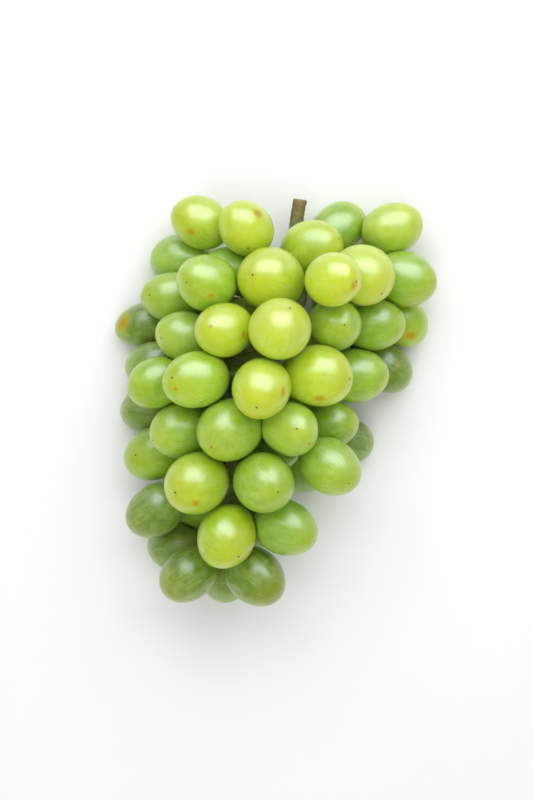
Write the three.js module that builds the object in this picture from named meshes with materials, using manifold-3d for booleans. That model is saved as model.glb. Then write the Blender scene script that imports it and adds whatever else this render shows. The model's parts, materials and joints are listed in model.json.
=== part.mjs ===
// A bunch of large green table grapes, lying on its back on a flat surface.
// Millimetres. +Y runs along the bunch to its cut stem, +Z is up, and the surface is z = 0.
// The berries are given by hand as the places they would like to have. They are then settled,
// as real ones are when the bunch is laid down, until none presses into another or the stem.

import * as THREE from 'three';
import { mergeVertices } from 'three/addons/utils/BufferGeometryUtils.js';
import Module from 'manifold-3d';

// Overall size: the berries' places below are counted in these three steps.
const STEP_ACROSS = 20;
const STEP_ALONG = 20;
const STEP_UP = 20;

// Berries
const BERRY_WIDTH = 22;
const BERRY_STRETCH = 1.17;
const BLOSSOM_TAPER = 0.07;
const BERRY_SIDES = 10;
const BERRY_BANDS = 7;

// Stem
const PEDUNCLE_THICKNESS = 5.6;
const RACHIS_TIP_THICKNESS = 2.6;
const LATERAL_THICKNESS = 2.6;
const PEDICEL_THICKNESS = 1.7;
const SHORTEST_PEDICEL = 3;
const RECEPTACLE_THICKNESS = 4.2;
const RECEPTACLE_LENGTH = 2.4;
const FORK_THICKNESS = 3.6;
const RACHIS_STATIONS = 24;
const RACHIS_SIDES = 8;
const LATERAL_STATIONS = 4;
const LATERAL_SIDES = 6;
const PEDICEL_SIDES = 5;

// Fits. A resting berry is pressed flat by FLOOR_PRESS, and one is resting if its place is lower
// than RESTING_BELOW steps up. The stem keeps ROUTE_MARGIN more than CLEARANCE, for its corners.
const CLEARANCE = 0.3;
const FLOOR_PRESS = 1.1;
const RESTING_BELOW = 0.65;
const ROUTE_MARGIN = 0.2;
const MERGE_DISTANCE = 1e-4;

// Settling: in each round a berry goes PULL of the way to its place, and the stem gives way by
// STEM_YIELD of what it overlaps. The last rounds have no pull, so that nothing stays pressed.
const ROUNDS = 600;
const ROUNDS_WITH_PULL = 420;
const PULL = 0.06;
const STEM_YIELD = 0.8;
const FORK_FOLLOWS = 0.2;
const FORK_GIVES = 0.5;
const BERRY_GIVES = 0.05;
const ROUTE_SPACING = 3;
const ROUTE_EASE = 0.5;

// Finish: the berries are lighter the higher they lie.
const BERRY_COLOR_SHADE = new THREE.Color(0x8fa552);
const BERRY_COLOR_LIGHT = new THREE.Color(0xc3d44a);
const STEM_COLOR = new THREE.Color(0x8b8a4a);
const BERRY_ROUGHNESS = 0.28;
const STEM_ROUGHNESS = 0.75;
const LIGHTEST_UP = 3;

// The rachis, from the cut end to the tip: across, along, up, in steps.
const RACHIS = [
  [0.5, 4.1, 0.7],
  [0.4, 3.4, 0.6],
  [0.5, 2.6, 0.7],
  [0.5, 2.0, 1.0],
  [0.1, 1.2, 1.4],
  [-0.1, 0.5, 1.5],
  [-0.6, -0.5, 1.4],
  [-0.9, -1.6, 1.3],
  [-0.9, -2.8, 1.2],
];

// Each branch leaves the rachis at a share of its length, and forks at a share of the way to the
// middle of its berries. A berry is given as across, along, up, in steps, and its width as a
// share of BERRY_WIDTH.
const BRANCHES = [
  { name: 'left_shoulder', leaves: 0.19, forks: 0.35, berries: [
    [-1.4, 3.5, 1.2, 0.95], [-0.8, 3.4, 1.6, 0.95], [-1.9, 2.95, 0.5, 0.95], [-0.9, 2.75, 1.1, 0.9],
    [0.6, 2.9, 1.4, 1.0]] },
  { name: 'right_shoulder', leaves: 0.16, forks: 0.2, berries: [
    [1.4, 3.3, 0.5, 0.95], [1.5, 2.1, 0.5, 0.95]] },
  { name: 'right_wing', leaves: 0.14, forks: 0.35, berries: [
    [1.65, 2.5, 2.0, 1.1], [2.4, 2.25, 1.2, 1.0], [2.5, 1.5, 0.4, 0.9], [2.3, 3.4, 0.9, 0.95]] },
  { name: 'upper_left', leaves: 0.27, forks: 0.4, berries: [
    [-1.25, 2.3, 2.2, 1.0], [-2.1, 1.95, 1.1, 0.95], [-2.55, 1.4, 0.4, 0.85], [-1.5, 1.3, 0.5, 0.95]] },
  { name: 'upper_front', leaves: 0.25, forks: 0.4, berries: [
    [0.05, 2.25, 2.1, 1.15], [1.15, 2.35, 3.0, 0.95], [-0.6, 1.75, 1.0, 0.85]] },
  { name: 'upper_right', leaves: 0.33, forks: 0.4, berries: [
    [1.25, 1.35, 2.0, 0.95], [1.9, 1.45, 1.4, 0.95], [2.2, 0.8, 0.5, 0.9], [1.0, 1.0, 0.5, 0.95]] },
  { name: 'front', leaves: 0.36, forks: 0.4, berries: [
    [-1.15, 1.2, 2.6, 0.95], [0.0, 1.4, 2.9, 1.1], [-0.3, 1.6, 0.4, 0.9]] },
  { name: 'middle_left', leaves: 0.44, forks: 0.4, berries: [
    [-1.8, 1.3, 1.7, 0.95], [-2.4, 0.8, 0.9, 0.9], [-2.25, 0.3, 1.7, 0.9], [-1.6, 0.3, 0.5, 0.95]] },
  { name: 'middle_front', leaves: 0.49, forks: 0.4, berries: [
    [-1.4, 0.4, 2.5, 1.0], [-0.3, 0.3, 3.0, 1.05], [0.7, 0.35, 2.4, 1.1]] },
  { name: 'middle_right', leaves: 0.52, forks: 0.4, berries: [
    [1.7, 0.6, 1.2, 1.0], [0.4, 0.0, 0.5, 0.95], [-0.7, 0.6, 0.5, 0.95]] },
  { name: 'lower_left', leaves: 0.6, forks: 0.4, berries: [
    [-1.95, -0.6, 1.8, 1.0], [-2.45, -0.2, 0.5, 0.85], [-2.4, -1.0, 0.9, 0.95], [-1.3, -0.8, 0.5, 0.95]] },
  { name: 'lower_front', leaves: 0.62, forks: 0.4, berries: [
    [-0.75, -0.5, 2.5, 1.1], [0.2, -0.5, 2.4, 0.95], [-0.4, -0.5, 0.5, 0.95]] },
  { name: 'lower_right', leaves: 0.67, forks: 0.4, berries: [
    [1.0, -1.1, 2.0, 1.0], [1.1, -0.6, 1.2, 0.9], [1.4, -0.8, 0.5, 0.85]] },
  { name: 'bottom_left', leaves: 0.76, forks: 0.4, berries: [
    [-1.5, -1.5, 2.2, 1.1], [-2.35, -2.3, 1.0, 0.95], [-0.4, -1.0, 1.1, 0.75], [-1.5, -1.9, 0.5, 0.95]] },
  { name: 'bottom_right', leaves: 0.79, forks: 0.4, berries: [
    [-0.2, -1.3, 2.3, 1.05], [-0.6, -1.45, 0.5, 0.95], [0.5, -1.4, 0.5, 0.95]] },
  { name: 'bottom_front', leaves: 0.87, forks: 0.4, berries: [
    [-0.95, -2.6, 2.1, 1.05], [0.1, -2.5, 1.9, 1.0], [-0.6, -2.5, 0.5, 0.95]] },
  { name: 'tip', leaves: 1.0, forks: 0.4, berries: [
    [-1.65, -3.4, 1.1, 0.95], [-0.5, -3.5, 1.4, 1.0], [-1.1, -3.5, 0.5, 0.9], [-2.0, -2.9, 0.6, 0.9]] },
];

const wasm = await Module();
wasm.setup();

function place([across, along, up]) {
  return new THREE.Vector3(across * STEP_ACROSS, along * STEP_ALONG, up * STEP_UP);
}

// ---- settling the berries ------------------------------------------------------------

// How far a berry reaches from its centre in a direction.
function reach(berry, direction) {
  const cosine = direction.dot(berry.axis);
  const lengthwise = (berry.length / 2) * cosine;
  const sideways = (berry.width / 2) * Math.sqrt(Math.max(0, 1 - cosine * cosine));
  return Math.hypot(lengthwise, sideways);
}

function makeBerry([across, along, up, width]) {
  const home = place([across, along, up]);
  return {
    home,
    centre: home.clone(),
    axis: new THREE.Vector3(0, 0, 1),
    width: BERRY_WIDTH * width,
    length: BERRY_WIDTH * width * BERRY_STRETCH,
    resting: up < RESTING_BELOW,
    pedicel: [],
  };
}

function makeBranch({ name, leaves, forks, berries }, rachis) {
  const root = rachis.getPointAt(leaves);
  return { name, root, forks, fork: root.clone(), berries: berries.map(makeBerry), lateral: [] };
}

// The point where a pedicel meets its berry, drawn back along the berry's axis.
function stemEnd(berry, drawnBack) {
  return berry.centre.clone().addScaledVector(berry.axis, -berry.length / 2 - CLEARANCE - drawnBack);
}

// The fork lies between the branch's root and the middle of its berries.
function aimBranch(branch) {
  const middle = new THREE.Vector3();
  branch.berries.forEach((berry) => middle.addScaledVector(berry.centre, 1 / branch.berries.length));
  const target = branch.root.clone().lerp(middle, branch.forks);
  branch.fork.lerp(target, FORK_FOLLOWS);
  for (const berry of branch.berries) {
    berry.axis.subVectors(berry.centre, branch.fork);
    const room = berry.length / 2 + CLEARANCE + RECEPTACLE_LENGTH + SHORTEST_PEDICEL;
    const missing = Math.max(0, room - berry.axis.length());
    berry.axis.normalize();
    branch.fork.addScaledVector(berry.axis, -missing * FORK_GIVES);
    berry.centre.addScaledVector(berry.axis, missing * BERRY_GIVES);
  }
}

// A route keeps its ends, and its inner points are drawn to the line between their neighbours.
function relaxRoute(route, from, to) {
  const wanted = Math.max(2, Math.ceil(from.distanceTo(to) / ROUTE_SPACING));
  if (route.length !== wanted + 1) {
    route.length = 0;
    for (let i = 0; i <= wanted; i += 1) {
      route.push(from.clone().lerp(to, i / wanted));
    }
  }
  route[0].copy(from);
  route[wanted].copy(to);
  for (let i = 1; i < wanted; i += 1) {
    const between = route[i - 1].clone().add(route[i + 1]).multiplyScalar(0.5);
    route[i].lerp(between, ROUTE_EASE);
  }
}

// Pushes a point of the stem and a berry apart. The share says how much of it the point takes.
function partPoint(point, radius, berry, share) {
  const offset = point.clone().sub(berry.centre);
  const distance = offset.length();
  offset.normalize();
  const overlap = reach(berry, offset) + radius + ROUTE_MARGIN + CLEARANCE - distance;
  if (overlap > 0) {
    point.addScaledVector(offset, overlap * share);
    berry.centre.addScaledVector(offset, -overlap * (1 - share));
  }
}

function partRoute(route, radius, berry) {
  route.slice(1).forEach((point) => partPoint(point, radius, berry, STEM_YIELD));
}

function rachisRadius(station) {
  const along = station / RACHIS_STATIONS;
  return THREE.MathUtils.lerp(PEDUNCLE_THICKNESS, RACHIS_TIP_THICKNESS, along) / 2;
}

function partBerries(one, other) {
  const offset = other.centre.clone().sub(one.centre);
  const distance = offset.length();
  offset.normalize();
  const overlap = reach(one, offset) + reach(other, offset) + CLEARANCE - distance;
  if (overlap > 0) {
    one.centre.addScaledVector(offset, -overlap / 2);
    other.centre.addScaledVector(offset, overlap / 2);
  }
}

// Berries chosen to rest sink to the surface, and none goes below it.
function layDown(berry) {
  const down = new THREE.Vector3(0, 0, -1);
  const lowest = reach(berry, down) - FLOOR_PRESS;
  if (berry.resting || berry.centre.z < lowest) {
    berry.centre.z = lowest;
  }
}

function settle(branches, rachis) {
  const berries = branches.flatMap((branch) => branch.berries);
  const rachisPoints = rachis.getSpacedPoints(RACHIS_STATIONS);
  for (let round = 0; round < ROUNDS; round += 1) {
    if (round < ROUNDS_WITH_PULL) {
      berries.forEach((berry) => berry.centre.lerp(berry.home, PULL));
    }
    for (const branch of branches) {
      aimBranch(branch);
      relaxRoute(branch.lateral, branch.root, branch.fork);
      for (const berry of branch.berries) {
        relaxRoute(berry.pedicel, branch.fork, stemEnd(berry, RECEPTACLE_LENGTH));
      }
    }
    for (const berry of berries) {
      for (const branch of branches) {
        partRoute(branch.lateral, LATERAL_THICKNESS / 2, berry);
        branch.fork.copy(branch.lateral.at(-1));
        for (const other of branch.berries.filter((each) => each !== berry)) {
          partRoute(other.pedicel, PEDICEL_THICKNESS / 2, berry);
        }
      }
      rachisPoints.forEach((point, i) => partPoint(point.clone(), rachisRadius(i), berry, 0));
    }
    berries.forEach((one, i) => {
      berries.slice(i + 1).forEach((other) => partBerries(one, other));
    });
    berries.forEach(layDown);
  }
}

// ---- solids --------------------------------------------------------------------------

// A closed three.js geometry as a manifold solid.
function toSolid(geometry) {
  const bare = geometry.clone();
  bare.deleteAttribute('normal');
  bare.deleteAttribute('uv');
  const merged = mergeVertices(bare, MERGE_DISTANCE);
  const corners = merged.index.array;
  const kept = [];
  for (let i = 0; i < corners.length; i += 3) {
    const [a, b, c] = corners.slice(i, i + 3);
    if (a !== b && b !== c && c !== a) {
      kept.push(a, b, c);
    }
  }
  const vertProperties = new Float32Array(merged.attributes.position.array);
  const mesh = new wasm.Mesh({ numProp: 3, vertProperties, triVerts: new Uint32Array(kept) });
  return new wasm.Manifold(mesh);
}

function toGeometry(solid) {
  const { vertProperties, triVerts } = solid.getMesh();
  const geometry = new THREE.BufferGeometry();
  geometry.setAttribute('position', new THREE.BufferAttribute(vertProperties, 3));
  geometry.setIndex(new THREE.BufferAttribute(triVerts, 1));
  geometry.computeVertexNormals();
  return geometry;
}

// A round bar laid along a curve. Radii are its half thickness at even stations.
function bar(curve, radii, sides) {
  const stations = radii.length - 1;
  const profile = [new THREE.Vector2(0, 0)];
  radii.forEach((radius, i) => profile.push(new THREE.Vector2(radius, i)));
  profile.push(new THREE.Vector2(0, stations));
  const geometry = new THREE.LatheGeometry(profile, sides);
  const frames = curve.computeFrenetFrames(stations, false);
  const position = geometry.attributes.position;
  for (let i = 0; i < position.count; i += 1) {
    const station = Math.round(position.getY(i));
    const point = curve.getPointAt(station / stations);
    point.addScaledVector(frames.binormals[station], position.getX(i));
    point.addScaledVector(frames.normals[station], position.getZ(i));
    position.setXYZ(i, point.x, point.y, point.z);
  }
  return toSolid(geometry);
}

// ---- the stem ------------------------------------------------------------------------

function rachisBar(rachis) {
  const radii = Array.from({ length: RACHIS_STATIONS + 1 }, (_, station) => rachisRadius(station));
  return bar(rachis, radii, RACHIS_SIDES);
}

function lateralBar(branch) {
  const radii = new Array(LATERAL_STATIONS + 1).fill(LATERAL_THICKNESS / 2);
  return bar(new THREE.CatmullRomCurve3(branch.lateral), radii, LATERAL_SIDES);
}

// A pedicel is slim along its route and swells into the receptacle that its berry sits on.
function pedicelBar(berry) {
  const route = [...berry.pedicel, stemEnd(berry, 0)];
  const thin = PEDICEL_THICKNESS / 2;
  const radii = [thin, thin, thin, RECEPTACLE_THICKNESS / 2];
  return bar(new THREE.CatmullRomCurve3(route), radii, PEDICEL_SIDES);
}

// Where a lateral forks into its pedicels it swells into a small knot.
function forkKnot(branch) {
  const knot = new THREE.IcosahedronGeometry(FORK_THICKNESS / 2, 0);
  knot.translate(branch.fork.x, branch.fork.y, branch.fork.z);
  return toSolid(knot);
}

// All bars grow together into one body. Crumbs and bubbles left where bars cross are dropped.
function makeStem(branches, rachis) {
  let solid = rachisBar(rachis);
  for (const branch of branches) {
    solid = solid.add(lateralBar(branch)).add(forkKnot(branch));
    for (const berry of branch.berries) {
      solid = solid.add(pedicelBar(berry));
    }
  }
  [solid] = solid.decompose().sort((one, other) => other.volume() - one.volume());
  const finish = { color: STEM_COLOR, roughness: STEM_ROUGHNESS, metalness: 0 };
  const mesh = new THREE.Mesh(toGeometry(solid), new THREE.MeshStandardMaterial(finish));
  mesh.name = 'stem';
  return mesh;
}

// ---- the berries ---------------------------------------------------------------------

// A berry's own solid stands on its stem end, with its axis along +Y and its centre at the origin.
function berryGeometry({ width, length }) {
  const profile = [];
  for (let band = 0; band <= BERRY_BANDS; band += 1) {
    const angle = (Math.PI * band) / BERRY_BANDS;
    const taper = 1 - BLOSSOM_TAPER * (0.5 - 0.5 * Math.cos(angle));
    const radius = (width / 2) * Math.sin(angle) * taper;
    profile.push(new THREE.Vector2(Math.max(0, radius), (-length / 2) * Math.cos(angle)));
  }
  profile[0].x = 0;
  profile[BERRY_BANDS].x = 0;
  return new THREE.LatheGeometry(profile, BERRY_SIDES);
}

// The surface presses a flat on every berry that rests on it.
function pressFlat(mesh) {
  mesh.updateMatrixWorld();
  const bounds = new THREE.Box3().setFromObject(mesh, true);
  if (bounds.min.z >= 0) {
    return;
  }
  const side = 4 * BERRY_WIDTH;
  const below = new THREE.BoxGeometry(side, side, side);
  below.translate(mesh.position.x, mesh.position.y, -side / 2);
  below.applyMatrix4(mesh.matrixWorld.clone().invert());
  mesh.geometry = toGeometry(toSolid(mesh.geometry).subtract(toSolid(below)));
}

function makeBerryMesh(berry, name) {
  const height = berry.centre.z / (LIGHTEST_UP * STEP_UP);
  const color = BERRY_COLOR_SHADE.clone().lerp(BERRY_COLOR_LIGHT, height);
  const finish = { color, roughness: BERRY_ROUGHNESS, metalness: 0 };
  const mesh = new THREE.Mesh(berryGeometry(berry), new THREE.MeshStandardMaterial(finish));
  mesh.name = name;
  mesh.position.copy(berry.centre);
  mesh.quaternion.setFromUnitVectors(new THREE.Vector3(0, 1, 0), berry.axis);
  pressFlat(mesh);
  return mesh;
}

// ---- the bunch -----------------------------------------------------------------------

function makeBunch() {
  const rachis = new THREE.CatmullRomCurve3(RACHIS.map(place));
  const branches = BRANCHES.map((branch) => makeBranch(branch, rachis));
  settle(branches, rachis);
  const bunch = new THREE.Group();
  bunch.add(makeStem(branches, rachis));
  let number = 0;
  for (const branch of branches) {
    const cluster = new THREE.Group();
    cluster.name = branch.name;
    for (const berry of branch.berries) {
      number += 1;
      cluster.add(makeBerryMesh(berry, `berry_${String(number).padStart(2, '0')}`));
    }
    bunch.add(cluster);
  }
  const middle = new THREE.Box3().setFromObject(bunch, true).getCenter(new THREE.Vector3());
  bunch.position.set(-middle.x, -middle.y, 0);
  const part = new THREE.Group();
  part.add(bunch);
  return part;
}

export default makeBunch();
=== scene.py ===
"""The looks of a bunch of white grapes that lies on its back: skins, stem, floor, light and camera.

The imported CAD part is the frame. Each faceted CAD berry gives its place, axis, length and width to
a rounded berry, and the CAD stem gives its course to a rounded, knobbly one.
"""

import json
import math

import bpy
import numpy as np
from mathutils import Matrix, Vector, noise


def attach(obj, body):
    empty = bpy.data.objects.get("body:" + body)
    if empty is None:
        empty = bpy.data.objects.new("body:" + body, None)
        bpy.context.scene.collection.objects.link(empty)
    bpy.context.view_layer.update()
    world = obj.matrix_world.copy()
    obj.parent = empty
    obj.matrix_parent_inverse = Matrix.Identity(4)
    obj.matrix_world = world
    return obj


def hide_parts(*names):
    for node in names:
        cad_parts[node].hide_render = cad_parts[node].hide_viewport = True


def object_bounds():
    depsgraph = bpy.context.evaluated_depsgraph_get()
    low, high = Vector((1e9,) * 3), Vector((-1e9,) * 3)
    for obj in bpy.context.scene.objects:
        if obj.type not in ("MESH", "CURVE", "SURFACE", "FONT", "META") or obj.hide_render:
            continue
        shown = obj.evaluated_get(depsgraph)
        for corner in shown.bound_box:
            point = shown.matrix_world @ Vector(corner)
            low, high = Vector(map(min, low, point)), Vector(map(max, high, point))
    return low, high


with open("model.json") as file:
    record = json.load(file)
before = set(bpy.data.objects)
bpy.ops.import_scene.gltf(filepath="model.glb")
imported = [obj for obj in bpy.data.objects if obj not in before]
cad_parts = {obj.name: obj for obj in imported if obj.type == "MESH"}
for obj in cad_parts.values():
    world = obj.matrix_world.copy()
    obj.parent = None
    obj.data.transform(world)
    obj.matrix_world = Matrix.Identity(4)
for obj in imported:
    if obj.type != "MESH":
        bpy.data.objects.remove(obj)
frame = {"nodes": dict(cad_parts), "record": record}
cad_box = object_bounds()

# Directions, how many decimals tell two corners apart, and how upright NEARLY_UP is.
MM = 0.001
UP = np.array([0.0, 0.0, 1.0])
ALONG = np.array([0.0, 1.0, 0.0])
DECIMALS = 6
NEARLY_UP = 0.9

# Reading a CAD berry. The taper is the part's own, and the stretch is a first guess.
BLOSSOM_TAPER = 0.07
FIRST_STRETCH = 1.14
ABOVE_FLAT = 0.02 * MM
FIT_ROUNDS = 12
FIT_NUDGE = 1e-4
FIT_CUTOFF = 1e-6

# Berries with a gap under NEAR get a plane between them, and the skins that reach it go flat there.
NEAR = 1.2 * MM
TOUCH_ROUNDS = 40
TOUCH_EASE = 0.05
CONTACT_SOFTNESS = 0.07 * MM
EXPONENT_LIMIT = 40

# The shape of a skin. LUMP_DEPTH is about how deep the lumps are, as a share of the berry's size.
GRID_STEPS = 26
PLUMPNESS = 1.05
LUMP_DEPTH = 0.022
LUMP_COUNT = 5
LUMP_WAVES = (1.6, 4.0)
SCAR_RISE = 0.12 * MM
SCAR_WIDTH = 0.09

# The tone of a skin: painted shade makes low berries darker. Berries are paler towards the stem's cut end.
LOWEST_TONE_IN_SHADE = -0.45
TONE_AT_TOP = 0.6
TONE_SPREAD = 0.25

# The skins' patterns are laid out in steps of 10 mm, from a place of its own for each berry.
GRAIN = 10 * MM
GRAIN_SHIFT = 60
SEED = 20

# The stem.
WELD = 0.001 * MM
STEM_VOXEL = 0.33 * MM
STEM_SMOOTHING = 0.5
STEM_ROUNDING = 4
STEM_SWELL = 0.16 * MM
STEM_LIFT = 0.1 * MM
KNOB_DEPTH = 0.2 * MM
KNOB_SPACING = 1.3 * MM
RIDGE_SPACING = 4 * KNOB_SPACING
RIDGE_SHARE = 0.5
WOODY_LENGTH = 14 * MM
CUT_DEPTH = 1.2 * MM

# The floor and the sky.
FLOOR_SIDE = 3.0
SKY_STRENGTH = 0.36

# The lights aim at a point inside the bunch.
AIM_HEIGHT = 30 * MM
WHITE = (1.0, 1.0, 1.0)
COOL_WHITE = (0.8, 0.88, 1.0)

# The camera looks straight down on the bunch.
CAMERA_HEIGHT = 924 * MM
CAMERA_LENS = 100
CAMERA_SENSOR = 36
CAMERA_CLIP = 10 * MM
CAMERA_FROM_MIDDLE = (-4.2 * MM, 0.0)

# Where a berry shows the small scar of its blossom, seen from above: across and along, as shares of
# its half width. The berries that aren't here have it at the end of their axis.
SCARS = {
    "berry_31": (-0.12, -0.55),
    "berry_24": (0.30, 0.62),
    "berry_23": (-0.31, 0.13),
    "berry_32": (0.86, -0.10),
    "berry_16": (-0.45, 0.05),
    "berry_12": (-0.55, -0.10),
    "berry_30": (-0.62, 0.10),
    "berry_41": (0.10, 0.05),
    "berry_46": (-0.55, -0.20),
    "berry_43": (0.50, -0.45),
    "berry_17": (0.70, -0.15),
    "berry_08": (0.50, -0.60),
    "berry_13": (-0.70, 0.05),
    "berry_26": (-0.75, -0.10),
    "berry_38": (-0.60, 0.00),
    "berry_40": (-0.45, -0.50),
    "berry_53": (0.45, -0.55),
    "berry_02": (0.10, -0.80),
}

# The blemishes that stand out: across and along as above, size as a share of the half width, and
# length along the bunch as a multiple of the width. A berry without one is NO_BLEMISH sizes away.
BLEMISHES = {
    "berry_31": (0.74, -0.09, 0.10, 2.2),
    "berry_23": (0.72, -0.19, 0.07, 2.4),
    "berry_32": (0.02, -0.72, 0.19, 0.6),
    "berry_12": (0.25, -0.55, 0.14, 0.8),
    "berry_02": (0.55, 0.45, 0.20, 1.0),
    "berry_01": (-0.30, -0.45, 0.16, 0.8),
    "berry_27": (-0.40, -0.20, 0.22, 1.2),
    "berry_14": (-0.80, 0.10, 0.25, 1.6),
    "berry_30": (-0.50, -0.30, 0.07, 1.2),
    "berry_41": (0.55, -0.50, 0.07, 1.0),
    "berry_46": (0.05, -0.55, 0.11, 1.0),
    "berry_17": (0.62, -0.30, 0.13, 1.4),
    "berry_10": (0.30, -0.60, 0.24, 0.8),
    "berry_21": (-0.20, -0.55, 0.22, 0.8),
}
NO_BLEMISH = 9.0


def linear(red, green, blue):
    """A colour as the shaders take it, from the 0 to 255 scale, by the sRGB curve."""
    shares = [c / 255 for c in (red, green, blue)]
    return tuple(s / 12.92 if s <= 0.04045 else ((s + 0.055) / 1.055) ** 2.4 for s in shares) + (1.0,)


# ---- the berries of the CAD part -------------------------------------------------------


def corners(node):
    """The corners of a CAD node, each one once."""
    found = np.array([v.co[:] for v in frame["nodes"][node].data.vertices])
    return np.unique(found.round(DECIMALS), axis=0)


def misfit(values, points):
    """How far points are from the skin of a berry, as shares of its size. values holds the berry's
    centre, axis, length and width."""
    centre, axis, length, width = values[0:3], values[3:6], values[6], values[7]
    axis = axis / np.linalg.norm(axis)
    away = points - centre
    along = away @ axis
    across = np.linalg.norm(away - np.outer(along, axis), axis=1)
    share = along / (length / 2)
    taper = 1 - BLOSSOM_TAPER * (0.5 + 0.5 * np.clip(share, -1, 1))
    return np.hypot(across / (width / 2 * taper), share) - 1


def fit_berry(node, stem):
    """Centre, axis from the stem end to the blossom end, length and width of a CAD berry."""
    points = corners(node)
    points = points[points[:, 2] > ABOVE_FLAT] / MM
    middle = points.mean(axis=0)
    _, directions = np.linalg.eigh(np.cov((points - middle).T))
    axis = directions[:, 2]
    nearest = stem[np.argmin(np.linalg.norm(stem / MM - middle, axis=1))] / MM
    if (nearest - middle) @ axis > 0:
        axis = -axis
    reach = np.ptp(points @ axis)
    values = np.concatenate([middle, axis, [reach, reach / FIRST_STRETCH]])
    for _ in range(FIT_ROUNDS):
        off = misfit(values, points)
        slopes = []
        for k in range(len(values)):
            nudged = values.copy()
            nudged[k] += FIT_NUDGE
            slopes.append((misfit(nudged, points) - off) / FIT_NUDGE)
        values = values - np.linalg.lstsq(np.array(slopes).T, off, rcond=FIT_CUTOFF)[0]
        values[3:6] /= np.linalg.norm(values[3:6])
    return {
        "centre": values[0:3] * MM,
        "axis": values[3:6],
        "length": values[6] * MM,
        "width": values[7] * MM,
    }


def reach_of(berry, direction):
    """How far a berry reaches in a direction, and where its skin is there."""
    turned = direction @ berry["axis"]
    along = (berry["length"] / 2) ** 2 * turned * berry["axis"]
    across = (berry["width"] / 2) ** 2 * (direction - turned * berry["axis"])
    distance = math.sqrt(direction @ (along + across))
    return distance, (along + across) / distance


def plane_between(one, other):
    """The plane where two neighbours press on each other, seen from one: its normal and its place
    along it. None if they are too far apart to touch."""
    apart = other["centre"] - one["centre"]
    if np.linalg.norm(apart) > (one["length"] + other["length"]) / 2 + NEAR:
        return None
    normal = apart / np.linalg.norm(apart)
    for _ in range(TOUCH_ROUNDS):
        _, skin = reach_of(one, normal)
        _, other_skin = reach_of(other, normal)
        normal = normal + (apart - other_skin - skin) / MM * TOUCH_EASE
        normal = normal / np.linalg.norm(normal)
    near, _ = reach_of(one, normal)
    far, _ = reach_of(other, normal)
    if apart @ normal - near - far > NEAR:
        return None
    return normal, one["centre"] @ normal + (near + apart @ normal - far) / 2


# ---- a berry ---------------------------------------------------------------------------


def round_grid(steps):
    """Even directions all round, and the quads between them: a cube's grid blown up to a ball."""
    line = np.tan(np.linspace(-math.pi / 4, math.pi / 4, steps + 1))
    u, v = (a.ravel() for a in np.meshgrid(line, line, indexing="ij"))
    one = np.ones_like(u)
    sides = [(one, u, v), (-one, v, u), (v, one, u), (u, -one, v), (u, v, one), (v, u, -one)]
    found = np.concatenate([np.stack(s, axis=1) for s in sides])
    found /= np.linalg.norm(found, axis=1)[:, None]
    _, first, index = np.unique(found.round(DECIMALS), axis=0, return_index=True, return_inverse=True)
    index = index.ravel()
    quads = []
    side_points = (steps + 1) ** 2
    for side in range(len(sides)):
        for i in range(steps):
            for j in range(steps):
                at = side * side_points + i * (steps + 1) + j
                quads.append([index[k] for k in (at, at + steps + 1, at + steps + 2, at + 1)])
    return found[first], np.array(quads)


def facing(across, along):
    """The direction whose place on a ball seen from above is across, along."""
    return np.array([across, along, math.sqrt(max(0.0, 1 - across**2 - along**2))])


def crossways(axis):
    """Two directions that stand square to axis and to each other."""
    side = np.cross(axis, UP if abs(axis[2]) < NEARLY_UP else ALONG)
    side /= np.linalg.norm(side)
    return side, np.cross(axis, side)


def lumps(directions, rng):
    """A few shallow swellings and hollows, different for each berry."""
    total = np.zeros(len(directions))
    for _ in range(LUMP_COUNT):
        toward = rng.normal(size=3)
        toward /= np.linalg.norm(toward)
        waves = rng.uniform(*LUMP_WAVES)
        total += np.sin(directions @ toward * waves + rng.uniform(0, 2 * math.pi))
    return total * LUMP_DEPTH / math.sqrt(LUMP_COUNT)


def press(points, normal, place):
    """Keeps points on the near side of a plane and rounds off what would stand beyond it."""
    beyond = np.clip((points @ normal - place) / CONTACT_SOFTNESS, -EXPONENT_LIMIT, EXPONENT_LIMIT)
    kept = -np.log1p(np.exp(-beyond))
    return points + np.outer((kept - beyond) * CONTACT_SOFTNESS, normal)


def store(mesh, name, values):
    """Writes an attribute, one vector or one number for each vertex."""
    kind, key = ("FLOAT_VECTOR", "vector") if values.ndim == 2 else ("FLOAT", "value")
    mesh.attributes.new(name, kind, "POINT").data.foreach_set(key, values.astype(np.float32).ravel())


def make_piece(name, points, faces, node, slot, materials):
    """A smooth mesh that rides with the bunch and stands for a CAD node."""
    mesh = bpy.data.meshes.new(name)
    mesh.from_pydata(points.tolist(), [], faces.tolist())
    mesh.shade_smooth()
    piece = bpy.data.objects.new(name, mesh)
    bpy.context.scene.collection.objects.link(piece)
    piece.data.materials.append(materials[slot])
    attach(piece, "root")
    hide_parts(node)
    return piece


def berry_points(berry, scar, planes, directions, rng):
    """The corners of a lumpy berry, raised at its scar and pressed flat by planes and the floor."""
    axis = berry["axis"]
    along = directions @ axis
    taper = 1 - BLOSSOM_TAPER * (0.5 + 0.5 * along)
    across = directions - np.outer(along, axis)
    shape = np.outer(along * berry["length"] / 2, axis) + across * (berry["width"] / 2 * taper)[:, None]
    shape = shape * (PLUMPNESS + lumps(directions, rng))[:, None]
    from_scar = np.linalg.norm(directions - scar, axis=1)
    shape += directions * (SCAR_RISE * np.exp(-((from_scar / SCAR_WIDTH) ** 2)))[:, None]
    points = shape + berry["centre"]
    for normal, place in planes:
        points = press(points, normal, place)
    return shape, press(points, -UP, 0.0)


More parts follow.
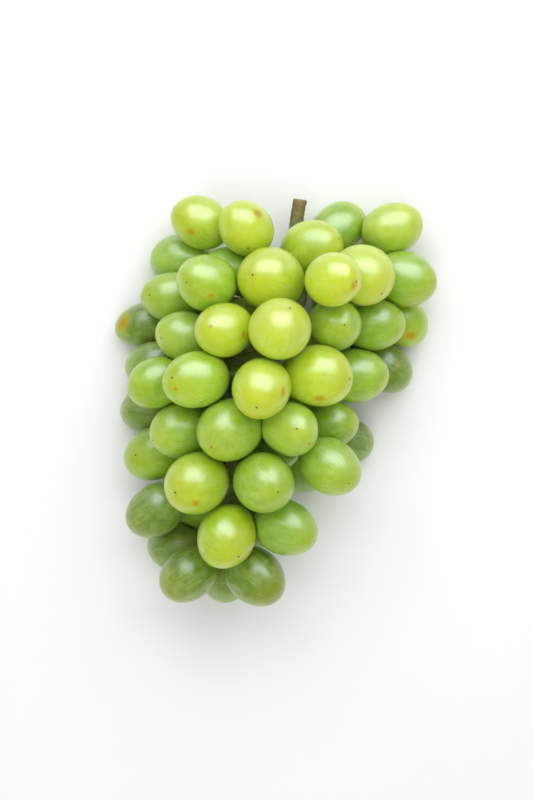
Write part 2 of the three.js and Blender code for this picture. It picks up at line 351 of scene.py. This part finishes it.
def berry_tone_and_shade(berry, rng):
    """How pale a berry is, by its height, which paints shade on low berries, and its place along the
    bunch.
    """
    height = (berry["centre"][2] - cad_box[0][2]) / (cad_box[1][2] - cad_box[0][2])
    # Painted shade: the lower a berry lies in the bunch, the deeper its flesh.
    tone = LOWEST_TONE_IN_SHADE + (1 - LOWEST_TONE_IN_SHADE) * height + TONE_SPREAD * rng.uniform(-1, 1)
    return tone + TONE_AT_TOP * berry["centre"][1] / cad_box[1][1]


def blemish_distance(node, directions):
    """How far each direction is from the node's blemish, as a vector in sizes of the blemish."""
    if node not in BLEMISHES:
        return np.full((len(directions), 3), NO_BLEMISH)
    across, along, size, longer = BLEMISHES[node]
    return (directions - facing(across, along)) / (size * np.array([1, longer, 1]))


def make_berry(node, berry, planes, grid, slot, materials, rng):
    """A berry's skin, with the attributes that its material reads."""
    directions, quads = grid
    scar = facing(*SCARS[node]) if node in SCARS else berry["axis"]
    side, front = crossways(scar)
    shape, points = berry_points(berry, scar, planes, directions, rng)
    piece = make_piece(node + "_skin", points, quads, node, slot, materials)
    mesh = piece.data
    store(mesh, "skin_place", np.stack([directions @ side, directions @ front, directions @ scar], axis=1))
    store(mesh, "skin_grain", shape / GRAIN + rng.uniform(0, GRAIN_SHIFT, size=3))
    # The tone holds painted shade, deeper on berries low in the bunch.
    store(mesh, "skin_tone_and_shade", np.full(len(points), berry_tone_and_shade(berry, rng)))
    store(mesh, "skin_wax", np.full(len(points), rng.uniform()))
    store(mesh, "skin_spot", blemish_distance(node, directions))


# ---- the stem --------------------------------------------------------------------------


def rounded_copy(node):
    """A CAD node's mesh, remeshed evenly and smoothed."""
    draft = bpy.data.objects.new("stem_draft", frame["nodes"][node].data.copy())
    bpy.context.scene.collection.objects.link(draft)
    weld = draft.modifiers.new("weld", "WELD")
    weld.merge_threshold = WELD
    remesh = draft.modifiers.new("remesh", "REMESH")
    remesh.mode = "VOXEL"
    remesh.voxel_size = STEM_VOXEL
    smooth = draft.modifiers.new("smooth", "SMOOTH")
    smooth.factor = STEM_SMOOTHING
    smooth.iterations = STEM_ROUNDING
    shaped = bpy.data.meshes.new_from_object(draft.evaluated_get(bpy.context.evaluated_depsgraph_get()))
    bpy.data.objects.remove(draft)
    return shaped


def make_stem(node, slot, materials):
    """A rounded copy of the CAD stem with the small knobs of a grape's stem."""
    shaped = rounded_copy(node)
    count = len(shaped.vertices)
    points = np.zeros(count * 3)
    normals = np.zeros(count * 3)
    shaped.vertices.foreach_get("co", points)
    shaped.vertex_normals.foreach_get("vector", normals)
    points, normals = points.reshape(-1, 3), normals.reshape(-1, 3)
    knobs = np.array([noise.noise(Vector(p / KNOB_SPACING)) for p in points])
    ridges = np.array([noise.noise(Vector(p / RIDGE_SPACING)) for p in points])
    swell = STEM_SWELL + KNOB_DEPTH * (knobs + RIDGE_SHARE * ridges)
    points = points + normals * swell[:, None]
    points[:, 2] = np.maximum(points[:, 2], STEM_LIFT)
    faces = np.array([p.vertices[:] for p in shaped.polygons])

    piece = make_piece("stem_wood", points, faces, node, slot, materials)
    from_top = points[:, 1].max() - points[:, 1]
    store(piece.data, "stem_grain", points / GRAIN)
    store(piece.data, "stem_woody", np.clip(1 - from_top / WOODY_LENGTH, 0, 1))
    store(piece.data, "stem_cut", np.clip(normals[:, 1], 0, 1) * (from_top < CUT_DEPTH))
    store(piece.data, "stem_knobs", knobs)


# ---- materials -------------------------------------------------------------------------


# Each skin has a light and a deep flesh, a warm colour round its scar, and a share of wax.
# The olive skin is darker partly as painted shade, for the berries deep in the bunch.
SKINS = {
    "skin_golden": (linear(194, 214, 34), linear(160, 190, 12), linear(200, 204, 22), 0.14),
    "skin_green": (linear(172, 204, 42), linear(132, 172, 14), linear(178, 194, 28), 0.15),
    "skin_olive": (linear(150, 172, 38), linear(108, 136, 16), linear(154, 160, 26), 0.17),
}
STEM_END = linear(168, 205, 84)
VEIN = linear(222, 240, 140)
SUNNED = linear(196, 176, 30)
BROWN_SPECK = linear(122, 112, 22)
PALE_DOT = linear(220, 236, 150)
WAX = linear(204, 226, 160)
BLEMISH_EDGE = linear(196, 178, 2)
BLEMISH_CORE = linear(184, 146, 0)
SCAR_RING = linear(190, 186, 70)
SCAR_BROWN = linear(46, 34, 2)

# How many waves or cells of a pattern go into 10 mm of a skin.
MOTTLE_WAVES = 1.1
SUNNED_WAVES = 0.9
PATCH_WAVES = 1.7
WAX_WAVES = 2.3
RAGGED_WAVES = 9.0
FINE_WAVES = 26.0
SPECK_CELLS = 7.0
DOT_CELLS = 11.0

# Where the layers begin and end. The first two are heights along the axis from scar to stem end, and
# the picks say how many of the cells have a speck or a dot.
STEM_END_RANGE = (-0.1, -1.0)
WARM_RANGE = (0.2, 1.0)
SUNNED_RANGE = (0.60, 0.78)
SPECK_RANGE = (0.16, 0.07)
SPECK_PICK = (0.80, 0.86)
DOT_RANGE = (0.22, 0.08)
DOT_PICK = (0.3, 0.6)

# How much of the colour below it each layer covers.
STEM_END_SHARE = 0.35
WARM_SHARE = 0.45
VEIN_SHARE = 0.18
SUNNED_SHARE = 0.42
SPECK_SHARE = 0.5
DOT_SHARE = 0.22
BLEMISH_EDGE_SHARE = 0.6
BLEMISH_CORE_SHARE = 0.75
SCAR_RING_SHARE = 0.35
SCAR_SHARE = 0.93

# The flesh is deep where mottle and tone are low, light where high; low tone is partly painted shade.
MOTTLE_LIFT = 1.3
TONE_LIFT = 0.6
DEEP_TO_LIGHT = (0.55, 1.35)

# Veins: how many there are round a berry, how far they wander, how wide they are, and where they
# stop in patches and near the ends.
VEIN_ROUND = 3.4
VEIN_WANDER = 0.3
VEIN_WAVES = 1.9
VEIN_WIDTH = 0.1
VEIN_PATCH_RANGE = (0.35, 0.7)
VEIN_END_RANGE = (0.97, 0.7)

# Wax goes from none to full over this range of its pattern, and OWN_WAX is a berry's own part.
WAX_RANGE = (0.44, 0.74)
OWN_WAX = 0.16

# Spots: where their edges begin and end, and how uneven the edges are.
BLEMISH_EDGE_RANGE = (1.9, 0.5)
BLEMISH_CORE_RANGE = (1.0, 0.35)
BLEMISH_DULL_RANGE = (1.4, 0.5)
BLEMISH_UNEVEN = 1.6
BLEMISH_GLOSS = 0.2
SCAR_RING_RANGE = (0.15, 0.06)
SCAR_RANGE = (0.044, 0.025)
SCAR_UNEVEN = 0.03

# Light goes deep into the flesh, and least of all blue light.
SKIN_IOR = 1.4
SKIN_COAT_IOR = 1.5
SKIN_COAT_ROUGHNESS = 0.34
SKIN_ROUGHNESS = 0.3
WAX_ROUGHNESS = 0.16
FINE_ROUGHNESS = 0.08
SCAR_ROUGHNESS = 0.3
FLESH_WEIGHT = 0.75
FLESH_RADIUS = (1.0, 1.0, 0.18)
FLESH_DEPTH = 4.5 * MM
SKIN_RELIEF = 0.15 * MM
SKIN_RELIEF_STRENGTH = 0.8
FINE_RELIEF = 0.25
MOTTLE_RELIEF = 1.2
SCAR_RELIEF = 1.2

# The stem's colours and patterns, named as for the skins.
STEM_GREENS = (linear(92, 98, 34), linear(140, 150, 62))
STEM_BARKS = (linear(96, 70, 38), linear(150, 122, 72))
STEM_PITHS = (linear(176, 150, 98), linear(118, 86, 48))
STEM_KNOB = linear(112, 84, 40)
STEM_STAIN = linear(84, 48, 24)
STEM_FLECK = linear(66, 44, 22)
STEM_PATCH_WAVES = 2.2
STEM_BUMP_WAVES = 14.0
STEM_PITH_WAVES = 30.0
STEM_FIBRES = (30.0, 4.0, 30.0)
STEM_FLECK_CELLS = 9.0
STEM_KNOB_SHARE = 0.6
STEM_STAIN_SHARE = 0.6
STEM_BARK_SHARE = 0.85
STEM_FLECK_SHARE = 0.7
STEM_GREEN_RANGE = (0.3, 0.7)
STEM_KNOB_RANGE = (0.15, 0.5)
STEM_STAIN_RANGE = (0.62, 0.72)
STEM_BARK_RANGE = (0.35, 0.65)
STEM_PITH_RANGE = (0.4, 0.6)
STEM_CUT_RANGE = (0.5, 0.8)
STEM_FLECK_RANGE = (0.22, 0.1)
STEM_FLECK_PICK = (0.6, 0.7)
STEM_ROUGH_RANGE = (0.2, 0.8)
STEM_ROUGHNESS = (0.5, 0.72)
STEM_WEIGHT = 0.12
STEM_RADIUS = (1.0, 0.8, 0.2)
STEM_DEPTH = 1.0 * MM
STEM_RELIEF = 0.15 * MM
STEM_RELIEF_STRENGTH = 0.8
STEM_BUMP_RELIEF = 0.8

FLOOR_COLORS = ((0.86, 0.865, 0.87, 1.0), (0.9, 0.9, 0.9, 1.0))
FLOOR_ROUGHNESS = 0.6
FLOOR_WAVES = 6.0

# The middle of a noise's values.
HALF = 0.5

# Where a colour Mix node has its two colours and its result.
MIX_ONE = 6
MIX_OTHER = 7
MIX_RESULT = 2


class Nodes:
    """A material's node tree, with short calls for the nodes that the materials here use."""

    def __init__(self, name):
        self.material = bpy.data.materials.new(name)
        self.material.use_nodes = True
        self.tree = self.material.node_tree
        self.tree.nodes.clear()
        self.shader = self.add("ShaderNodeBsdfPrincipled")
        output = self.add("ShaderNodeOutputMaterial")
        self.join(self.shader.outputs["BSDF"], output.inputs["Surface"])

    def add(self, kind, **settings):
        made = self.tree.nodes.new(kind)
        for key, value in settings.items():
            setattr(made, key, value)
        return made

    def join(self, source, target):
        """Links an output to an input, or sets the input to a plain value."""
        if isinstance(source, bpy.types.NodeSocket):
            self.tree.links.new(source, target)
        else:
            target.default_value = source

    def attribute(self, name, output="Vector"):
        return self.add("ShaderNodeAttribute", attribute_name=name).outputs[output]

    def calc(self, operation, *values):
        made = self.add("ShaderNodeMath", operation=operation)
        for k, value in enumerate(values):
            self.join(value, made.inputs[k])
        return made.outputs[0]

    def plus(self, one, other):
        return self.calc("ADD", one, other)

    def minus(self, one, other):
        return self.calc("SUBTRACT", one, other)

    def times(self, one, other):
        return self.calc("MULTIPLY", one, other)

    def size_of(self, value):
        return self.calc("ABSOLUTE", value)

    def vector(self, operation, *values, output="Vector"):
        made = self.add("ShaderNodeVectorMath", operation=operation)
        for k, value in enumerate(values):
            self.join(value, made.inputs[k])
        return made.outputs[output]

    def step(self, value, low, high, bottom=0.0, top=1.0):
        """Goes smoothly from bottom to top as value goes from low to high."""
        made = self.add("ShaderNodeMapRange", interpolation_type="SMOOTHSTEP")
        settings = {"Value": value, "From Min": low, "From Max": high, "To Min": bottom, "To Max": top}
        for key, setting in settings.items():
            self.join(setting, made.inputs[key])
        return made.outputs["Result"]

    def noise(self, place, scale, detail=2.0, roughness=0.5, distortion=0.0):
        made = self.add("ShaderNodeTexNoise")
        self.join(place, made.inputs["Vector"])
        made.inputs["Scale"].default_value = scale
        made.inputs["Detail"].default_value = detail
        made.inputs["Roughness"].default_value = roughness
        made.inputs["Distortion"].default_value = distortion
        return made.outputs["Fac"]

    def cells(self, place, scale):
        """Distance to the nearest of many scattered points, and a number of its own for each."""
        made = self.add("ShaderNodeTexVoronoi")
        self.join(place, made.inputs["Vector"])
        made.inputs["Scale"].default_value = scale
        split = self.add("ShaderNodeSeparateColor")
        self.join(made.outputs["Color"], split.inputs[0])
        return made.outputs["Distance"], split.outputs[0]

    def blend(self, share, one, other):
        made = self.add("ShaderNodeMix", data_type="RGBA")
        self.join(share, made.inputs["Factor"])
        self.join(one, made.inputs[MIX_ONE])
        self.join(other, made.inputs[MIX_OTHER])
        return made.outputs[MIX_RESULT]

    def bump(self, height, distance, strength):
        made = self.add("ShaderNodeBump")
        made.inputs["Strength"].default_value = strength
        made.inputs["Distance"].default_value = distance
        self.join(height, made.inputs["Height"])
        return made.outputs["Normal"]

    def scatter(self, weight, radius, depth):
        """How far light goes into the material."""
        self.shader.inputs["Subsurface Weight"].default_value = weight
        self.shader.inputs["Subsurface Radius"].default_value = radius
        self.shader.inputs["Subsurface Scale"].default_value = depth


def flesh(g, mottle, height, light, deep, warm):
    """Mottled flesh that shows through, paler at the stem end and warmer round the scar."""
    # The tone paints shade: berries low in the bunch get deeper flesh.
    tone = g.attribute("skin_tone_and_shade", "Fac")
    lift = g.plus(g.times(mottle, MOTTLE_LIFT), g.times(tone, TONE_LIFT))
    color = g.blend(g.step(lift, *DEEP_TO_LIGHT), deep, light)
    color = g.blend(g.step(height, *STEM_END_RANGE, top=STEM_END_SHARE), color, STEM_END)
    return g.blend(g.step(height, *WARM_RANGE, top=WARM_SHARE), color, warm)


def add_veins(g, color, place, grain, height):
    """Pale veins that run from the stem end to the scar, and fade near both."""
    ring = g.vector("NORMALIZE", g.vector("MULTIPLY", place, (1.0, 1.0, 0.0)))
    round_axis = g.vector("MULTIPLY", ring, (VEIN_ROUND, VEIN_ROUND, 0.0))
    wander = g.vector("MULTIPLY", grain, (VEIN_WANDER, VEIN_WANDER, VEIN_WANDER))
    waves = g.noise(g.vector("ADD", round_axis, wander), VEIN_WAVES, detail=2.5, roughness=0.6)
    vein = g.step(g.size_of(g.minus(waves, HALF)), VEIN_WIDTH, 0.0)
    patchy = g.step(g.noise(grain, PATCH_WAVES, detail=1.0), *VEIN_PATCH_RANGE)
    away = g.step(g.size_of(height), *VEIN_END_RANGE)
    vein = g.times(g.times(vein, patchy), away)
    return g.blend(g.times(vein, VEIN_SHARE), color, VEIN)


def add_specks(g, color, grain):
    """Sunned patches, fine brown specks and finer pale dots."""
    patches = g.noise(grain, SUNNED_WAVES, detail=4.0, roughness=0.6, distortion=0.6)
    sunned = g.step(patches, *SUNNED_RANGE)
    color = g.blend(g.times(sunned, SUNNED_SHARE), color, SUNNED)
    far, pick = g.cells(grain, SPECK_CELLS)
    speck = g.times(g.step(far, *SPECK_RANGE), g.step(pick, *SPECK_PICK))
    color = g.blend(g.times(speck, SPECK_SHARE), color, BROWN_SPECK)
    far, pick = g.cells(grain, DOT_CELLS)
    dot = g.times(g.step(far, *DOT_RANGE), g.step(pick, *DOT_PICK))
    return g.blend(g.times(dot, DOT_SHARE), color, PALE_DOT)


def wax_cover(g, grain):
    """Where wax is left on the skin: more on some berries, and none where it was rubbed off."""
    own_wax = g.attribute("skin_wax", "Fac")
    cloudy = g.noise(grain, WAX_WAVES, detail=6.0, roughness=0.62, distortion=0.4)
    return g.step(g.plus(cloudy, g.times(own_wax, OWN_WAX)), *WAX_RANGE)


def ragged_edge(g, distance, ragged, depth):
    """A distance made uneven, so that a spot's edge isn't a circle."""
    return g.plus(distance, g.times(g.minus(ragged, HALF), depth))


def add_blemish(g, color, ragged):
    """The berry's amber blemish, and how much gloss is left on the skin there."""
    distance = g.vector("LENGTH", g.attribute("skin_spot"), output="Value")
    spot = ragged_edge(g, distance, ragged, BLEMISH_UNEVEN)
    color = g.blend(g.step(spot, *BLEMISH_EDGE_RANGE, top=BLEMISH_EDGE_SHARE), color, BLEMISH_EDGE)
    color = g.blend(g.step(spot, *BLEMISH_CORE_RANGE, top=BLEMISH_CORE_SHARE), color, BLEMISH_CORE)
    return color, g.step(spot, *BLEMISH_DULL_RANGE, bottom=1.0, top=BLEMISH_GLOSS)


def add_scar(g, color, place, ragged):
    """The scar of the blossom, in a paler ring, and where it is."""
    distance = g.vector("DISTANCE", place, (0.0, 0.0, 1.0), output="Value")
    uneven = ragged_edge(g, distance, ragged, SCAR_UNEVEN)
    color = g.blend(g.step(uneven, *SCAR_RING_RANGE, top=SCAR_RING_SHARE), color, SCAR_RING)
    scar = g.step(uneven, *SCAR_RANGE)
    return g.blend(g.times(scar, SCAR_SHARE), color, SCAR_BROWN), scar


def skin_material(name, light, deep, warm, wax):
    """Grape skin: flesh that shows through, veins, specks, wax, a blemish and the scar."""
    g = Nodes(name)
    place = g.attribute("skin_place")
    grain = g.attribute("skin_grain")
    split = g.add("ShaderNodeSeparateXYZ")
    g.join(place, split.inputs[0])
    height = split.outputs["Z"]

    mottle = g.noise(grain, MOTTLE_WAVES, detail=4.0, roughness=0.6, distortion=0.5)
    ragged = g.noise(grain, RAGGED_WAVES, detail=4.0, roughness=0.7)
    fine = g.noise(grain, FINE_WAVES, detail=3.0, roughness=0.6)
    bloom = wax_cover(g, grain)
    color = flesh(g, mottle, height, light, deep, warm)
    color = add_veins(g, color, place, grain, height)
    color = add_specks(g, color, grain)
    color = g.blend(g.times(bloom, wax), color, WAX)
    color, gloss = add_blemish(g, color, ragged)
    color, scar = add_scar(g, color, place, ragged)

    rough = g.plus(g.times(bloom, WAX_ROUGHNESS), g.times(fine, FINE_ROUGHNESS))
    rough = g.plus(rough, g.times(scar, SCAR_ROUGHNESS))
    relief = g.plus(g.times(fine, FINE_RELIEF), g.times(mottle, MOTTLE_RELIEF))
    relief = g.minus(relief, g.times(scar, SCAR_RELIEF))
    g.join(color, g.shader.inputs["Base Color"])
    g.join(g.plus(rough, SKIN_ROUGHNESS), g.shader.inputs["Roughness"])
    g.join(g.bump(relief, SKIN_RELIEF, SKIN_RELIEF_STRENGTH), g.shader.inputs["Normal"])
    g.join(gloss, g.shader.inputs["Coat Weight"])
    g.shader.inputs["IOR"].default_value = SKIN_IOR
    g.shader.inputs["Coat IOR"].default_value = SKIN_COAT_IOR
    g.shader.inputs["Coat Roughness"].default_value = SKIN_COAT_ROUGHNESS
    g.scatter(FLESH_WEIGHT, FLESH_RADIUS, FLESH_DEPTH)
    return g.material


def stem_material(name):
    """Green stem with brown flecks, woody and brown towards the cut."""
    g = Nodes(name)
    grain = g.attribute("stem_grain")
    knobs = g.attribute("stem_knobs", "Fac")
    woody = g.attribute("stem_woody", "Fac")
    cut = g.attribute("stem_cut", "Fac")
    patch = g.noise(grain, STEM_PATCH_WAVES, detail=4.0, roughness=0.6)
    fibre = g.noise(g.vector("MULTIPLY", grain, STEM_FIBRES), 1.0, detail=4.0, roughness=0.65)
    color = g.blend(g.step(patch, *STEM_GREEN_RANGE), *STEM_GREENS)
    color = g.blend(g.step(knobs, *STEM_KNOB_RANGE, top=STEM_KNOB_SHARE), color, STEM_KNOB)
    color = g.blend(g.step(patch, *STEM_STAIN_RANGE, top=STEM_STAIN_SHARE), color, STEM_STAIN)
    bark = g.blend(g.step(fibre, *STEM_BARK_RANGE), *STEM_BARKS)
    color = g.blend(g.times(woody, STEM_BARK_SHARE), color, bark)
    cut_grain = g.noise(grain, STEM_PITH_WAVES, detail=3.0)
    pith = g.blend(g.step(cut_grain, *STEM_PITH_RANGE), *STEM_PITHS)
    color = g.blend(g.step(cut, *STEM_CUT_RANGE), color, pith)
    far, pick = g.cells(grain, STEM_FLECK_CELLS)
    fleck = g.times(g.step(far, *STEM_FLECK_RANGE), g.step(pick, *STEM_FLECK_PICK))
    color = g.blend(g.times(fleck, STEM_FLECK_SHARE), color, STEM_FLECK)
    bumps = g.noise(grain, STEM_BUMP_WAVES, detail=3.0)
    relief = g.plus(fibre, g.times(bumps, STEM_BUMP_RELIEF))
    g.join(color, g.shader.inputs["Base Color"])
    g.join(g.step(patch, *STEM_ROUGH_RANGE, *STEM_ROUGHNESS), g.shader.inputs["Roughness"])
    g.join(g.bump(relief, STEM_RELIEF, STEM_RELIEF_STRENGTH), g.shader.inputs["Normal"])
    g.scatter(STEM_WEIGHT, STEM_RADIUS, STEM_DEPTH)
    return g.material


def floor_material(name):
    """A plain white tabletop with a trace of unevenness."""
    g = Nodes(name)
    where = g.add("ShaderNodeTexCoord").outputs["Object"]
    patch = g.noise(where, FLOOR_WAVES, detail=3.0)
    g.join(g.blend(patch, *FLOOR_COLORS), g.shader.inputs["Base Color"])
    g.shader.inputs["Roughness"].default_value = FLOOR_ROUGHNESS
    return g.material


# ---- floor, light, camera --------------------------------------------------------------


def make_floor():
    mesh = bpy.data.meshes.new("floor")
    half = FLOOR_SIDE / 2
    corners_in_turn = [(-half, -half, 0), (half, -half, 0), (half, half, 0), (-half, half, 0)]
    mesh.from_pydata(corners_in_turn, [], [(0, 1, 2, 3)])
    mesh.materials.append(floor_material("floor"))
    floor = bpy.data.objects.new("floor", mesh)
    bpy.context.scene.collection.objects.link(floor)


def make_softbox(name, azimuth, elevation, distance, size, power, color, shines, lights):
    """A soft light that faces the bunch. Azimuth 0 is at the stem's end and 90 on the right.
    It shows in the gloss of the skins, or lights them, or both."""
    light = bpy.data.lights.new(name, "AREA")
    light.shape = "RECTANGLE"
    light.size, light.size_y = size
    light.energy = power
    light.color = color
    lamp = bpy.data.objects.new(name, light)
    a, e = math.radians(azimuth), math.radians(elevation)
    back = Vector((math.sin(a) * math.cos(e), math.cos(a) * math.cos(e), math.sin(e)))
    lamp.location = Vector((0, 0, AIM_HEIGHT)) + back * distance
    lamp.rotation_mode = "QUATERNION"
    lamp.rotation_quaternion = (-back).to_track_quat("-Z", "Y")
    lamp.visible_camera = False
    lamp.visible_glossy = shines
    lamp.visible_diffuse = lights
    bpy.context.scene.collection.objects.link(lamp)


def make_lights():
    """A broad key light from the stem's end, its shine on the skins, and a fill light opposite."""
    make_softbox("key", 8, 52, 0.6, (0.9, 0.6), 3.3, WHITE, shines=False, lights=True)
    make_softbox("shine", 8, 43, 0.5, (0.78, 0.5), 8.2, COOL_WHITE, shines=True, lights=False)
    make_softbox("fill", 195, 50, 0.9, (1.2, 1.2), 5.7, WHITE, shines=False, lights=True)


def make_world():
    world = bpy.data.worlds.new("studio")
    world.use_nodes = True
    sky = world.node_tree.nodes["Background"]
    sky.inputs["Color"].default_value = (*WHITE, 1.0)
    sky.inputs["Strength"].default_value = SKY_STRENGTH
    bpy.context.scene.world = world


def make_camera():
    data = bpy.data.cameras.new("camera")
    data.lens = CAMERA_LENS
    data.sensor_width = CAMERA_SENSOR
    data.clip_start = CAMERA_CLIP
    camera = bpy.data.objects.new("camera", data)
    camera.location = (*CAMERA_FROM_MIDDLE, CAMERA_HEIGHT)
    bpy.context.scene.collection.objects.link(camera)
    bpy.context.scene.camera = camera


# ---- the bunch -------------------------------------------------------------------------


def number_of(node):
    return int(node.split("_")[1])


def make_berries(slots, materials):
    """All berries, each pressed flat by the ones that touch it."""
    stem_points = corners("stem")
    names = sorted((n for n in frame["nodes"] if n != "stem"), key=number_of)
    berries = {n: fit_berry(n, stem_points) for n in names}
    grid = round_grid(GRID_STEPS)
    for n in names:
        planes = [plane_between(berries[n], berries[m]) for m in names if m != n]
        planes = [p for p in planes if p is not None]
        rng = np.random.default_rng(SEED + number_of(n))
        make_berry(n, berries[n], planes, grid, slots[n], materials, rng)


slots = {entry["node"]: entry["material_slot"] for entry in frame["record"]["subparts"]}
materials = {skin: skin_material(skin, *look) for skin, look in SKINS.items()}
materials["stem"] = stem_material("stem")
make_berries(slots, materials)
make_stem("stem", slots["stem"], materials)
make_floor()
make_lights()
make_world()
make_camera()
bpy.context.scene.view_settings.view_transform = "Standard"
